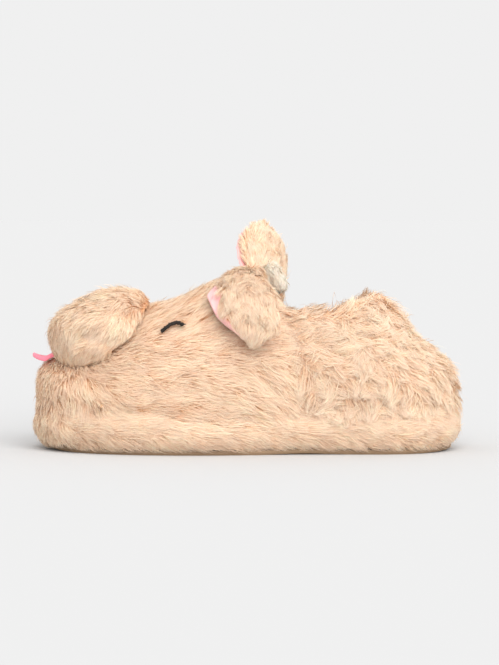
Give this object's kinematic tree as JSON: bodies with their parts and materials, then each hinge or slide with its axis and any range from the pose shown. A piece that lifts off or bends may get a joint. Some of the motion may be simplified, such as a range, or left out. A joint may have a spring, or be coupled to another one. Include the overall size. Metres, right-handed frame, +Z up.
{
  "type": "animal slipper",
  "caption": "Plush animal-face house slipper with a stuffed muzzle, felt tongue and round ears on a fur-wrapped platform sole, open at the foot collar.",
  "frame": {"origin": "on the flat underside of the outsole, below the middle of the slipper's length and width", "axes": "+X from toe to heel, -Y to the outer side of the left foot, +Z up from the floor"},
  "size_m": [0.2759, 0.1411, 0.1456],
  "materials": {
    "fur": "long soft plush pile, warm peach with sandy roots and pale tips",
    "band_fur": "plush pile combed along the side of the platform",
    "cream_lining": "short cream fleece pile",
    "pink_lining": "short-napped pink velour",
    "pink_felt": "matt pink felt",
    "outsole_sheet": "thin matt sheet with shallow cross grooves"
  },
  "bodies": {
    "root": {"outsole": "outsole_sheet", "midsole": "band_fur", "insole": "cream_lining", "upper": "fur", "throat_cuff": "cream_lining", "tongue": "pink_felt", "muzzle": "fur", "ear_outer": "fur", "ear_inner": "fur", "ear_lining_outer": "pink_lining", "ear_lining_inner": "pink_lining"}
  },
  "joints": []
}
